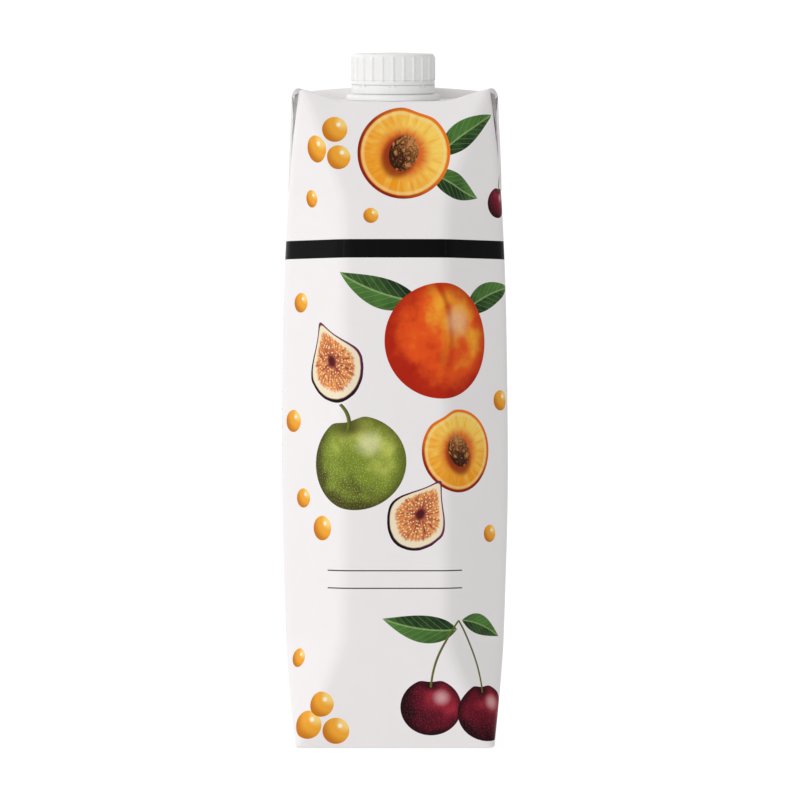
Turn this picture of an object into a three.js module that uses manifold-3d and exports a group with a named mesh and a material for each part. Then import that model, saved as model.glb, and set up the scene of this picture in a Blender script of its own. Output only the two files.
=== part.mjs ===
// A one-litre juice carton: an eight-sided board pack with a fin, ears and a screw cap on its sloping top.
// Millimetres. +Z is up, the front faces -Y, and the origin is the middle of the underside.
import * as THREE from 'three';
import { mergeVertices } from 'three/addons/utils/BufferGeometryUtils.js';
import Module from 'manifold-3d';

const wasm = await Module();
wasm.setup();

// Half widths of the pack: from its axis to a side panel, at each of its folds
const BASE_HALF = 33.6;
const LOWER_FOLD_HALF = 36.8;
const UPPER_FOLD_HALF = 36.1;
const TOP_HALF = 32.3;
// Heights of the folds and of the top
const LOWER_FOLD_Z = 36;
const UPPER_FOLD_Z = 184;
const FRONT_EDGE_Z = 217.6;
const CORNER_Z = 222;
const MIDDLE_Z = 220.6;
const MIDDLE_END_Z = 221.6;
const FIN_Z = 224.8;
const FIN_END_Z = 222.9;
// Half width of a side panel between its creases, and of the level part of the top's front edge
const PANEL_HALF = 17.3;
const LEVEL_HALF = 18;
// How far the juice pushes the panels out
const WAIST_BULGE = 1.75;
const TAPER_BULGE = 0.3;
const PANEL_BULGE = 0.5;
const FACET_BULGE = 0.4;
// Rounded edges and corners
const HEEL_RADIUS = 1.2;
const RIM_RADIUS = 0.8;
const CORNER_CUT = 1.2;

// The seam down the back, the fin across the top and the ears folded down the sides
const SEAM_LEFT = 3;
const SEAM_WIDTH = 8;
const SEAM_STEP = 0.35;
const FIN_WIDTH = 8;
const FIN_THICKNESS = 0.9;
const FIN_LEAN = 0.5;
const FIN_ON_EAR = 0.5;
const FIN_ON_EAR_DEPTH = 1.5;
const EAR_TOP_Z = MIDDLE_END_Z + 0.4;
const EAR_LENGTH = 33;
const EAR_HALF = 31.6;
const EAR_TIP_HALF = 1.6;
const EAR_STAND_TOP = 2.4;
const EAR_STAND_TIP = 0.4;
const EAR_GAP = 1.1;
const EAR_GAP_LENGTH = 25;
const EMBED = 0.8;

// The folded flaps under the pack
const FLAP_STEP = 0.6;
const FLAP_EDGE_MARGIN = 3.2;
const FLAP_NECK = 2.5;

// The spout, its tamper band and its cap
const CAP_X = -0.6;
const CAP_Y = -17;
const PART_GAP = 0.3;
const FLANGE_RADIUS = 15.9;
const FLANGE_HEIGHT = 1.7;
const FLANGE_CHAMFER = 0.3;
const FLANGE_ROUNDING = 0.9;
const NECK_RADIUS = 12.2;
const BAND_RADIUS = 14.2;
const BAND_HEIGHT = 2.75;
const BAND_CHAMFER = 0.2;
const CAP_RADIUS = 13.9;
const CAP_HEIGHT = 10.8;
const COLLAR_HEIGHT = 1.3;
const RIB_TOP = 9.7;
const RIB_STAND = 0.4;
const RIB_RAMP = 0.4;
const RIB_COUNT = 24;
const RIB_SHARE = 0.3;
const CAP_EDGE_RADIUS = 0.9;
const CAP_DOME = 0.45;

// Mesh fineness
const PANEL_STEPS = 12;
const FACET_STEPS = 5;
const WAIST_ROWS = 14;
const TAPER_ROWS = 7;
const ROUND_STEPS = 3;
const ROUND_SEGMENTS = 96;
const EAR_STEPS = 12;
const CAP_EDGE_STEPS = 4;

const lerp = (from, to, share) => from + (to - from) * share;
const clamp01 = (value) => Math.min(1, Math.max(0, value));
const arch = (share) => 4 * share * (1 - share);

// Solids

function toManifold(geometry) {
  const bare = geometry.clone();
  bare.deleteAttribute('normal');
  bare.deleteAttribute('uv');
  const merged = mergeVertices(bare, 1e-5);
  return new wasm.Manifold(new wasm.Mesh({
    numProp: 3,
    vertProperties: new Float32Array(merged.attributes.position.array),
    triVerts: new Uint32Array(merged.index.array),
  }));
}

function toGeometry(manifold) {
  const mesh = manifold.getMesh();
  const geometry = new THREE.BufferGeometry();
  geometry.setAttribute('position', new THREE.BufferAttribute(mesh.vertProperties, 3));
  geometry.setIndex(new THREE.BufferAttribute(mesh.triVerts, 1));
  return geometry;
}

function indexed(points, triangles) {
  const geometry = new THREE.BufferGeometry();
  geometry.setAttribute('position', new THREE.Float32BufferAttribute(points.flat(), 3));
  geometry.setIndex(triangles.flat());
  return geometry;
}

// The triangles between rings of points that all have as many points
function betweenRings(rings, count) {
  const triangles = [];
  for (let ring = 0; ring + 1 < rings; ring += 1) {
    for (let i = 0; i < count; i += 1) {
      const a = ring * count + i;
      const b = ring * count + (i + 1) % count;
      triangles.push([a, b, b + count], [a, b + count, a + count]);
    }
  }
  return triangles;
}

// A closed skin over a row of outlines that all have as many points, with flat ends
function skinOver(outlines, endShape) {
  const count = outlines[0].length;
  const triangles = betweenRings(outlines.length, count);
  const last = (outlines.length - 1) * count;
  for (const [a, b, c] of THREE.ShapeUtils.triangulateShape(endShape, [])) {
    triangles.push([c, b, a], [last + a, last + b, last + c]);
  }
  return toManifold(indexed(outlines.flat(), triangles));
}

// The top: height of its level front edge rising to the corners, and of the middle line under the fin

const cornerShare = (x) => clamp01((Math.abs(x) - LEVEL_HALF) / (TOP_HALF - LEVEL_HALF));

function topHeight(x, y) {
  const share = cornerShare(x);
  const edge = lerp(FRONT_EDGE_Z, CORNER_Z, share);
  const middle = lerp(MIDDLE_Z, MIDDLE_END_Z, share);
  return lerp(middle, edge, clamp01(Math.abs(y) / TOP_HALF));
}

function finHeight(x) {
  return lerp(FIN_Z, FIN_END_Z, (x / TOP_HALF) ** 2);
}

// Rows of the wall: each gives the half width, the panel's half width and how high the row stands
// between two folds. A rim row's height hangs on the top's height above that place.

function wallRows() {
  const rows = [];
  for (let i = 0; i < ROUND_STEPS; i += 1) {
    const angle = (Math.PI / 2) * (i / ROUND_STEPS);
    const half = BASE_HALF - HEEL_RADIUS * (1 - Math.sin(angle));
    const z = HEEL_RADIUS * (1 - Math.cos(angle));
    rows.push({ half, panel: half - CORNER_CUT, bulge: 0, height: () => z });
  }
  for (let i = 0; i < TAPER_ROWS; i += 1) {
    const share = i / TAPER_ROWS;
    const half = lerp(BASE_HALF, LOWER_FOLD_HALF, share) + TAPER_BULGE * arch(share);
    const z = lerp(HEEL_RADIUS, LOWER_FOLD_Z, share);
    const panel = lerp(BASE_HALF - CORNER_CUT, PANEL_HALF, share);
    rows.push({ half, panel, bulge: share, height: () => z });
  }
  for (let i = 0; i < WAIST_ROWS; i += 1) {
    const share = i / WAIST_ROWS;
    const half = lerp(LOWER_FOLD_HALF, UPPER_FOLD_HALF, share) + WAIST_BULGE * arch(share);
    const z = lerp(LOWER_FOLD_Z, UPPER_FOLD_Z, share);
    rows.push({ half, panel: PANEL_HALF, bulge: 1, height: () => z });
  }
  for (let i = 0; i < TAPER_ROWS; i += 1) {
    const share = i / TAPER_ROWS;
    rows.push({
      half: upperHalf(share),
      panel: lerp(PANEL_HALF, TOP_HALF - CORNER_CUT, share),
      bulge: 1,
      height: (top) => lerp(UPPER_FOLD_Z, top - RIM_RADIUS, share),
    });
  }
  for (let i = 0; i <= ROUND_STEPS; i += 1) {
    const angle = (Math.PI / 2) * (i / ROUND_STEPS);
    const half = TOP_HALF - RIM_RADIUS * (1 - Math.cos(angle));
    rows.push({
      half,
      panel: half - CORNER_CUT,
      bulge: 1,
      height: (top) => top - RIM_RADIUS * (1 - Math.sin(angle)),
    });
  }
  return rows;
}

function upperHalf(share) {
  return lerp(UPPER_FOLD_HALF, TOP_HALF, share) + TAPER_BULGE * arch(share);
}

// Stations round the wall, four times a panel and the corner facet after it. A place is its x along
// the front and its distance from the axis, turned round to the side it stands on.

function wallStations() {
  const stations = [];
  for (let side = 0; side < 4; side += 1) {
    for (let i = 0; i <= PANEL_STEPS; i += 1) {
      stations.push({ side, across: -1 + 2 * i / PANEL_STEPS });
    }
    for (let i = 1; i < FACET_STEPS; i += 1) {
      stations.push({ side, facet: i / FACET_STEPS });
    }
  }
  return stations;
}

function turned(x, y, side) {
  const turns = [[x, y], [-y, x], [-x, -y], [y, -x]];
  return turns[side];
}

function place(station, row) {
  const back = station.side === 2 ? SEAM_STEP : 0;
  if (station.facet === undefined) {
    const swell = PANEL_BULGE * row.bulge * (1 - station.across ** 2);
    return turned(station.across * row.panel, -(row.half - back + swell), station.side);
  }
  const swell = FACET_BULGE * arch(station.facet) * (row.half - row.panel) / (LOWER_FOLD_HALF - PANEL_HALF);
  const nextBack = station.side === 1 ? SEAM_STEP : 0;
  const x = lerp(row.panel, row.half - nextBack, station.facet) + swell * Math.SQRT1_2;
  const y = lerp(-(row.half - back), -row.panel, station.facet) - swell * Math.SQRT1_2;
  return turned(x, y, station.side);
}

function wallSkin() {
  const rows = wallRows();
  const stations = wallStations();
  const rim = rows[rows.length - 1];
  const points = [];
  for (const row of rows) {
    for (const station of stations) {
      const [x, y] = place(station, row);
      points.push([x, y, row.height(topHeight(...place(station, rim)))]);
    }
  }
  const count = stations.length;
  const triangles = betweenRings(rows.length, count);
  closeUnderside(points, triangles, count);
  closeTop(points, triangles, stations, (rows.length - 1) * count, rim.panel);
  return toManifold(indexed(points, triangles));
}

function closeUnderside(points, triangles, count) {
  const centre = points.push([0, 0, 0]) - 1;
  for (let i = 0; i < count; i += 1) {
    triangles.push([i, centre, (i + 1) % count]);
  }
}

// The top is a square grid inside the rim. The facet stations of a corner all run to the grid's corner.
function closeTop(points, triangles, stations, rimStart, gridHalf) {
  const side = PANEL_STEPS + 1;
  const gridStart = points.length;
  for (let j = 0; j < side; j += 1) {
    for (let i = 0; i < side; i += 1) {
      const x = gridHalf * (-1 + 2 * i / PANEL_STEPS);
      const y = gridHalf * (-1 + 2 * j / PANEL_STEPS);
      points.push([x, y, topHeight(x, y)]);
    }
  }
  const gridIndex = (i, j) => gridStart + j * side + i;
  for (let j = 0; j < PANEL_STEPS; j += 1) {
    for (let i = 0; i < PANEL_STEPS; i += 1) {
      const a = gridIndex(i, j);
      triangles.push([a, a + 1, a + side + 1], [a, a + side + 1, a + side]);
    }
  }
  const last = PANEL_STEPS;
  const onGrid = (station) => {
    const i = station.facet === undefined ? Math.round((station.across + 1) / 2 * last) : last;
    return gridIndex(...[[i, 0], [last, i], [last - i, last], [0, last - i]][station.side]);
  };
  stations.forEach((station, k) => {
    const next = (k + 1) % stations.length;
    const a = onGrid(station);
    const b = onGrid(stations[next]);
    triangles.push([rimStart + k, rimStart + next, b]);
    if (a !== b) {
      triangles.push([rimStart + k, b, a]);
    }
  });
}

// The seam: a lap of the board down the back, from the heel to the rim
function backSeam() {
  const rows = wallRows().slice(ROUND_STEPS, -ROUND_STEPS);
  const outlines = rows.map((row) => {
    const edge = (x, stand) => {
      const swell = PANEL_BULGE * row.bulge * (1 - Math.min(1, x / row.panel) ** 2);
      return [x, row.half - SEAM_STEP + swell + stand, row.height(FRONT_EDGE_Z)];
    };
    const right = SEAM_LEFT + SEAM_WIDTH;
    return [edge(SEAM_LEFT, -EMBED), edge(right, -EMBED), edge(right, SEAM_STEP), edge(SEAM_LEFT, SEAM_STEP)];
  });
  return skinOver(outlines, outlines[0].map(([x, y]) => new THREE.Vector2(x, y)));
}

// The fin: sealed edges of the tube, folded back over the top, standing up along its fold
function topFin() {
  const steps = PANEL_STEPS * 2;
  const outlines = [];
  for (let i = 0; i <= steps; i += 1) {
    const x = lerp(-TOP_HALF, TOP_HALF, i / steps);
    const middle = topHeight(x, 0);
    const crest = finHeight(x);
    const low = (y) => topHeight(x, y) - EMBED;
    const tail = topHeight(x, FIN_WIDTH) + FIN_THICKNESS;
    outlines.push([
      [x, -FIN_LEAN, low(-FIN_LEAN)],
      [x, FIN_WIDTH, low(FIN_WIDTH)],
      [x, FIN_WIDTH, tail],
      [x, FIN_WIDTH * 0.6, lerp(tail, crest, 0.45)],
      [x, FIN_WIDTH * 0.3, lerp(middle, crest, 0.94)],
      [x, FIN_WIDTH * 0.14, crest],
      [x, 0.3, lerp(middle, crest, 0.93)],
      [x, -0.2, lerp(middle, crest, 0.75)],
      [x, -FIN_LEAN, lerp(middle, crest, 0.45)],
    ]);
  }
  return skinOver(outlines, outlines[0].map(([, y, z]) => new THREE.Vector2(y, z)));
}

// The right ear: a doubled triangle hanging from the side's top edge, its tip stuck to the side panel.
// An outline is a slice at one share of the ear's half width, given as drop below the top and stand-off.

const wallHalfAt = (z) => upperHalf(clamp01((z - UPPER_FOLD_Z) / (CORNER_Z - RIM_RADIUS - UPPER_FOLD_Z)));
const earStand = (drop) => lerp(EAR_STAND_TOP, EAR_STAND_TIP, clamp01(drop / EAR_LENGTH));
const earGap = (drop) => (drop < EAR_GAP_LENGTH ? EAR_GAP * (1 - drop / EAR_GAP_LENGTH) : -EMBED);

function earProfile() {
  const profile = [];
  const inner = [EAR_LENGTH, 29, EAR_GAP_LENGTH, 20, 15, 10, 6, 3, 1.8];
  inner.forEach((drop) => profile.push([drop, earGap(drop)]));
  profile.push([1.5, -1.2], [0.5, -1.4], [0.15, -0.6], [0.1, 0.3], [0.5, 1.2], [1.2, 1.75], [2.2, 2.15]);
  const outer = [3.5, 6, 10, 15, 20, 26, EAR_LENGTH];
  outer.forEach((drop) => profile.push([drop, earStand(drop)]));
  return profile;
}

function rightEar() {
  const profile = earProfile();
  const outlines = [];
  for (let i = 0; i <= EAR_STEPS; i += 1) {
    const share = -1 + 2 * i / EAR_STEPS;
    outlines.push(profile.map(([drop, stand]) => {
      const z = EAR_TOP_Z - drop;
      const half = lerp(EAR_HALF, EAR_TIP_HALF, drop / EAR_LENGTH);
      return [wallHalfAt(z) + stand, share * half, z];
    }));
  }
  return skinOver(outlines, outlines[0].map(([x, , z]) => new THREE.Vector2(z, x)));
}

// The fin's end, which runs on down the middle of the ear to its squared tip. Near the ear's fold it
// stands off less, as the ear is rounded there.
function finOnEar() {
  const drops = [0.6, 1.2, 2.2, 4, 8, 14, 20, 26, EAR_LENGTH];
  const standsNearFold = [1.2, 1.7];
  const outlines = drops.map((drop, k) => {
    const z = EAR_TOP_Z - drop;
    const outer = wallHalfAt(z) + (standsNearFold[k] ?? earStand(drop)) + FIN_ON_EAR;
    const inner = outer - FIN_ON_EAR_DEPTH;
    return [[inner, 0, z], [outer, 0, z], [outer, FIN_WIDTH, z], [inner, FIN_WIDTH, z]];
  });
  const endShape = [[0, 0], [1, 0], [1, 1], [0, 1]].map(([x, y]) => new THREE.Vector2(x, y));
  return skinOver(outlines.reverse(), endShape);
}

// Under the pack two flaps lie flat. In front of them and behind them the base stands a little higher.
function flapRecess() {
  const outer = BASE_HALF - HEEL_RADIUS - FLAP_EDGE_MARGIN;
  const shape = new THREE.Shape([
    new THREE.Vector2(0, -FLAP_NECK),
    new THREE.Vector2(-outer + FLAP_NECK, -outer),
    new THREE.Vector2(outer - FLAP_NECK, -outer),
  ]);
  const geometry = new THREE.ExtrudeGeometry(shape, { depth: 2 * FLAP_STEP, bevelEnabled: false });
  geometry.translate(0, 0, -FLAP_STEP);
  return toManifold(geometry);
}

function cartonGeometry() {
  const ear = rightEar().add(finOnEar());
  const recess = flapRecess();
  return toGeometry(
    wallSkin()
      .add(backSeam())
      .add(topFin())
      .add(ear)
      .add(ear.mirror([1, 0, 0]))
      .subtract(recess)
      .subtract(recess.mirror([0, 1, 0])),
  );
}

// The spout's parts are turned about an upright axis, then tilted and set down on the sloping top

const SLOPE = Math.atan((MIDDLE_Z - FRONT_EDGE_Z) / TOP_HALF);

function setOnTop(geometry, height) {
  geometry.translate(0, 0, PART_GAP + height);
  geometry.rotateX(SLOPE);
  geometry.translate(CAP_X, CAP_Y, topHeight(CAP_X, CAP_Y));
  return geometry;
}

function lathed(profile) {
  const geometry = new THREE.LatheGeometry(profile.map(([r, z]) => new THREE.Vector2(r, z)), ROUND_SEGMENTS);
  geometry.rotateX(Math.PI / 2);
  return geometry;
}

const BAND_BOTTOM = FLANGE_HEIGHT + PART_GAP;
const CAP_BOTTOM = BAND_BOTTOM + BAND_HEIGHT + PART_GAP;

function spoutGeometry() {
  return lathed([
    [0, 0],
    [FLANGE_RADIUS - FLANGE_CHAMFER, 0],
    [FLANGE_RADIUS, FLANGE_CHAMFER],
    [FLANGE_RADIUS, FLANGE_HEIGHT - FLANGE_ROUNDING],
    [FLANGE_RADIUS - FLANGE_ROUNDING * 0.3, FLANGE_HEIGHT - FLANGE_ROUNDING * 0.3],
    [FLANGE_RADIUS - FLANGE_ROUNDING, FLANGE_HEIGHT],
    [NECK_RADIUS, FLANGE_HEIGHT],
    [NECK_RADIUS, CAP_BOTTOM - PART_GAP],
    [0, CAP_BOTTOM - PART_GAP],
  ]);
}

function bandGeometry() {
  const inner = NECK_RADIUS + PART_GAP;
  return lathed([
    [inner, 0],
    [BAND_RADIUS - BAND_CHAMFER, 0],
    [BAND_RADIUS, BAND_CHAMFER],
    [BAND_RADIUS, BAND_HEIGHT - BAND_CHAMFER],
    [BAND_RADIUS - BAND_CHAMFER, BAND_HEIGHT],
    [inner, BAND_HEIGHT],
    [inner, 0],
  ]);
}

// The cap's rows: a plain collar, the ribbed side, a rounded edge and a slightly domed top
function capRows() {
  const rows = [
    { radius: BAND_RADIUS - BAND_CHAMFER, z: 0, rib: 0 },
    { radius: BAND_RADIUS, z: BAND_CHAMFER, rib: 0 },
    { radius: BAND_RADIUS, z: COLLAR_HEIGHT - (BAND_RADIUS - CAP_RADIUS), rib: 0 },
    { radius: CAP_RADIUS, z: COLLAR_HEIGHT, rib: 0 },
    { radius: CAP_RADIUS, z: COLLAR_HEIGHT + RIB_RAMP, rib: 1 },
    { radius: CAP_RADIUS, z: RIB_TOP - RIB_RAMP, rib: 1 },
    { radius: CAP_RADIUS, z: RIB_TOP, rib: 0 },
  ];
  const shoulder = CAP_HEIGHT - CAP_DOME - CAP_EDGE_RADIUS;
  for (let i = 1; i <= CAP_EDGE_STEPS; i += 1) {
    const angle = (Math.PI / 2) * (i / CAP_EDGE_STEPS);
    rows.push({
      radius: CAP_RADIUS - CAP_EDGE_RADIUS * (1 - Math.cos(angle)),
      z: shoulder + CAP_EDGE_RADIUS * Math.sin(angle),
      rib: 0,
    });
  }
  for (const share of [0.75, 0.5, 0.25]) {
    rows.push({ radius: CAP_RADIUS * share, z: CAP_HEIGHT - CAP_DOME * share ** 2, rib: 0 });
  }
  return rows;
}

function capGeometry() {
  const shares = [0, RIB_SHARE * 0.25, RIB_SHARE * 0.75, RIB_SHARE];
  const angles = [];
  for (let rib = 0; rib < RIB_COUNT; rib += 1) {
    shares.forEach((share, k) => {
      const angle = 2 * Math.PI * (rib + share - RIB_SHARE / 2) / RIB_COUNT;
      angles.push({ angle, raised: k === 1 || k === 2 });
    });
  }
  const rows = capRows();
  const points = [];
  for (const row of rows) {
    for (const { angle, raised } of angles) {
      const radius = row.radius + (raised ? RIB_STAND * row.rib : 0);
      points.push([radius * Math.sin(angle), -radius * Math.cos(angle), row.z]);
    }
  }
  const count = angles.length;
  const triangles = betweenRings(rows.length, count);
  const bottom = points.push([0, 0, 0]) - 1;
  const top = points.push([0, 0, CAP_HEIGHT]) - 1;
  const last = (rows.length - 1) * count;
  for (let i = 0; i < count; i += 1) {
    const next = (i + 1) % count;
    triangles.push([i, bottom, next], [last + i, last + next, top]);
  }
  return indexed(points, triangles);
}

function mesh(name, geometry, color, roughness) {
  const part = new THREE.Mesh(geometry, new THREE.MeshStandardMaterial({ color, roughness, metalness: 0 }));
  part.name = name;
  return part;
}

const carton = new THREE.Group();
carton.name = 'juice_carton';
carton.add(
  mesh('carton', cartonGeometry(), 0xf1f0ef, 0.42),
  mesh('spout', setOnTop(spoutGeometry(), 0), 0xf3f3f2, 0.38),
  mesh('tamper_band', setOnTop(bandGeometry(), BAND_BOTTOM), 0xf5f5f4, 0.36),
  mesh('cap', setOnTop(capGeometry(), CAP_BOTTOM), 0xf5f5f4, 0.36),
);

export default carton;
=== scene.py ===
"""A one-litre juice carton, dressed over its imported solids. Shapes are worked out in millimetres."""

import bpy
import numpy as np
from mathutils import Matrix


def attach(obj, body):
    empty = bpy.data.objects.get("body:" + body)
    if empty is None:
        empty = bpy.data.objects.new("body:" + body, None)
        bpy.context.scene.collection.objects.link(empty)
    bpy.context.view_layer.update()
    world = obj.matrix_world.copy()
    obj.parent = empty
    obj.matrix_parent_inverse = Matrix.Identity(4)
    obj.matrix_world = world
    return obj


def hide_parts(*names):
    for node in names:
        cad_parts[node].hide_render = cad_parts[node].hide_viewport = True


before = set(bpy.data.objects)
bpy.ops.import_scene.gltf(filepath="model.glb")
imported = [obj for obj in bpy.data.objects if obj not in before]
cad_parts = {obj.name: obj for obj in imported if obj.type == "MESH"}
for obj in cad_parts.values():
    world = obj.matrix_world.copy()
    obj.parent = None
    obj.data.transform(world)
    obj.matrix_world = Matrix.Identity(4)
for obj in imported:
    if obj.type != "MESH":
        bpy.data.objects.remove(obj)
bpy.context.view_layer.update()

MM = 0.001

# Half widths of the pack from its axis to a side panel, and the heights of its folds, as in the solids.
# The crease radius, the ear gap and the collar's height depart a little from them, to be nearer the photo.
BASE_HALF, LOWER_HALF, UPPER_HALF, TOP_HALF = 33.6, 36.8, 36.1, 32.3
LOWER_FOLD_Z, UPPER_FOLD_Z = 36.0, 184.0
FRONT_EDGE_Z, CORNER_Z, MIDDLE_Z, MIDDLE_END_Z = 217.6, 222.0, 220.6, 221.6
FIN_Z, FIN_END_Z = 224.8, 222.9
PANEL_HALF, LEVEL_HALF = 17.3, 18.0
WAIST_BULGE, TAPER_BULGE, PANEL_BULGE, FACET_BULGE = 1.75, 0.3, 0.5, 0.4
HEEL_RADIUS, RIM_RADIUS, CORNER_CUT, CREASE_RADIUS = 1.2, 0.8, 1.2, 2.6
FOLD_SOFTNESS, UNEVENNESS = 4.0, 0.1
FLAP_STEP, FLAP_INSET = 0.6, 3.0
SEAM_LEFT, SEAM_WIDTH, SEAM_STEP = 3.0, 8.0, 0.35
FIN_WIDTH, FIN_THICKNESS, FIN_ON_EAR = 8.0, 0.9, 0.5
FIN_FRONT_Y, FIN_CREST_Y, FIN_SINK = -0.5, 1.0, 0.8
SEAL_PITCH, SEAL_DEPTH, SEAL_POINTS, SEAL_EDGE = 1.1, 0.05, 58, 0.25
EAR_LENGTH, EAR_HALF, EAR_TIP_HALF, EAR_EDGE = 33.0, 31.6, 1.6, 0.6
EAR_TOP_Z = MIDDLE_END_Z + 0.4
EAR_STAND_TOP, EAR_STAND_TIP, EAR_GAP, EAR_GAP_LENGTH = 2.4, 0.4, 0.35, 25.0

# The printed sheet, unrolled: one side and its corner facet take a quarter of its width, and at the base
# the facet is a narrow strip. The top lies past the rim, clear of the print.
QUARTER, BASE_STRIP, PAST_RIM = 64.0, 0.2, 12.0

# Rows of the shell: round the heel and the rim, under the pack, over its top, and in three stretches up
# the wall. Steps across a panel's half and across a facet, which crowd towards the creases.
ROUND_ROWS, UNDER_ROWS, TOP_ROWS = 6, 14, 22
LOWER_ROWS, WAIST_ROWS, UPPER_ROWS = 29, 69, 33
PANEL_STEPS, PANEL_CROWDING = 12, 1.8
FACET_STEPS, FACET_CROWDING = 9, 1.6

# Rows of the pieces that are carried across the top, across an ear and up the back
FIN_ROWS, EAR_ROWS, SEAM_ROWS = 61, 41, 90

# The spout, its tamper band and its cap
CAP_X, CAP_Y, PART_GAP = -0.6, -17.0, 0.3
FLANGE_RADIUS, FLANGE_HEIGHT, NECK_RADIUS = 15.9, 1.7, 12.2
FLANGE_ROUNDING, FLANGE_SINK = 0.9, 0.25
BAND_RADIUS, BAND_HEIGHT = 14.2, 2.75
CAP_RADIUS, CAP_HEIGHT, COLLAR_HEIGHT = 13.9, 10.8, 0.95
CAP_EDGE_RADIUS, CAP_DOME = 0.9, 0.45
RECESS_RADIUS, RECESS_DEPTH = 11.0, 0.12
GATE_RADIUS, GATE_HEIGHT, GATE_SURROUND = 0.8, 0.1, 2.4
RIB_TOP, RIB_STAND, RIB_COUNT, RIB_SHARE = 9.7, 0.4, 24, 0.3
GROOVE_DEPTH, HAIR_GAP = 0.45, 0.04
BRIDGES, BRIDGE_HALF, NOTCH_DEPTH, NOTCH_END = 8, 0.35, 0.6, 1.25
SPOUT_COLUMNS, BRIDGE_COLUMNS, RIB_COLUMNS = 160, 40, 20
RIBBED_ROWS, CAP_EDGE_ROWS, CAP_TOP_ROWS, GATE_ROWS = 23, 8, 35, 15

# The camera: level, a metre and a half in front, its picture centre a little right of the pack's axis
CAMERA = (1.75, -1538.0, 117.1)
LENS, FILM_WIDTH, VIEW_END = 201.5, 36, 20


def mix(a, b, share):
    """From a to b by a share."""
    return a + (b - a) * share


def arch(share):
    """A parabola that is one in the middle of the share and nought at both ends."""
    return 4 * share * (1 - share)


def smooth(low, high, value):
    """A step from 0 to 1 between low and high, level at both ends."""
    t = np.clip((value - low) / (high - low), 0, 1)
    return t * t * (3 - 2 * t)


def soft_ramp(value, softness):
    """Zero below nought and the value itself above it, with the corner rounded."""
    return (value + np.sqrt(value**2 + softness**2)) / 2


def grid_piece(name, places, material, node=None, sheet=None):
    """A mesh over a grid of places, an array of rows by columns by three, in millimetres. Its last column
    joins the first. sheet gives each corner's place on the printed sheet, with one column more."""
    rows, columns = places.shape[:2]
    row, column = np.meshgrid(np.arange(rows - 1), np.arange(columns), indexing="ij")
    following = (column + 1) % columns
    start, end = row * columns, (row + 1) * columns
    quads = np.stack([start + column, start + following, end + following, end + column], axis=-1)
    mesh = bpy.data.meshes.new(name)
    mesh.from_pydata((places.reshape(-1, 3) * MM).tolist(), [], quads.reshape(-1, 4).tolist())
    if sheet is not None:
        across = np.stack([column, column + 1, column + 1, column], axis=-1)
        down = np.stack([row, row, row + 1, row + 1], axis=-1)
        layer = mesh.uv_layers.new(name="print")
        layer.data.foreach_set("uv", sheet[down, across].reshape(-1).astype(np.float32))
    mesh.shade_smooth()
    mesh.validate()
    piece = bpy.data.objects.new(name, mesh)
    bpy.context.collection.objects.link(piece)
    mesh.materials.append(material)
    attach(piece, "root")
    if node:
        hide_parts(node)


# The top: its level front edge rises to the corners, and its middle line lies under the fin

def corner_share(x):
    """How far the top has risen towards its corners: mostly straight, and eased a little at the start."""
    straight = np.clip((np.abs(x) - LEVEL_HALF) / (TOP_HALF - LEVEL_HALF), 0, 1)
    return mix(straight, smooth(LEVEL_HALF - 3, TOP_HALF, np.abs(x)), 0.3)


def top_height(x, y):
    """The top runs straight from its middle line to its front and back edges. Both rise with corner_share."""
    share = corner_share(x)
    edge = mix(FRONT_EDGE_Z, CORNER_Z, share)
    middle = mix(MIDDLE_Z, MIDDLE_END_Z, share)
    return mix(middle, edge, np.clip(np.abs(y) / TOP_HALF, 0, 1))


def fin_height(x):
    """The fin's crest: a parabola, highest in the middle."""
    return mix(FIN_Z, FIN_END_Z, (x / TOP_HALF) ** 2)


# The wall: how wide the pack is at each height, and the shell that follows

def upper_half(share):
    """Distance from the axis to a side panel, a share of the way from the upper fold to the rim."""
    return mix(UPPER_HALF, TOP_HALF, share) + TAPER_BULGE * arch(share)


def half_at(z):
    """Distance from the axis to a side panel: straight tapers at both ends and a bulging waist."""
    low = np.clip((z - HEEL_RADIUS) / (LOWER_FOLD_Z - HEEL_RADIUS), 0, 1)
    waist = np.clip((z - LOWER_FOLD_Z) / (UPPER_FOLD_Z - LOWER_FOLD_Z), 0, 1)
    taper = mix(BASE_HALF, LOWER_HALF, low) + TAPER_BULGE * arch(low)
    middle = mix(LOWER_HALF, UPPER_HALF, waist) + WAIST_BULGE * arch(waist)
    return np.where(z < LOWER_FOLD_Z, taper, np.where(z < UPPER_FOLD_Z, middle, upper_half(rim_share(z))))


def rim_share(z):
    """How far a height lies on the way from the upper fold to the rim."""
    return np.clip((z - UPPER_FOLD_Z) / (CORNER_Z - RIM_RADIUS - UPPER_FOLD_Z), 0, 1)


def panel_at(z):
    """Half width of a side panel between its creases: narrow at the waist, the whole side at both ends."""
    lower_slope = (BASE_HALF - CORNER_CUT - PANEL_HALF) / LOWER_FOLD_Z
    upper_slope = (TOP_HALF - CORNER_CUT - PANEL_HALF) / (CORNER_Z - UPPER_FOLD_Z)
    lower = lower_slope * soft_ramp(LOWER_FOLD_Z - z, FOLD_SOFTNESS)
    upper = upper_slope * soft_ramp(z - UPPER_FOLD_Z, FOLD_SOFTNESS)
    return PANEL_HALF + lower + upper


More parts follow.
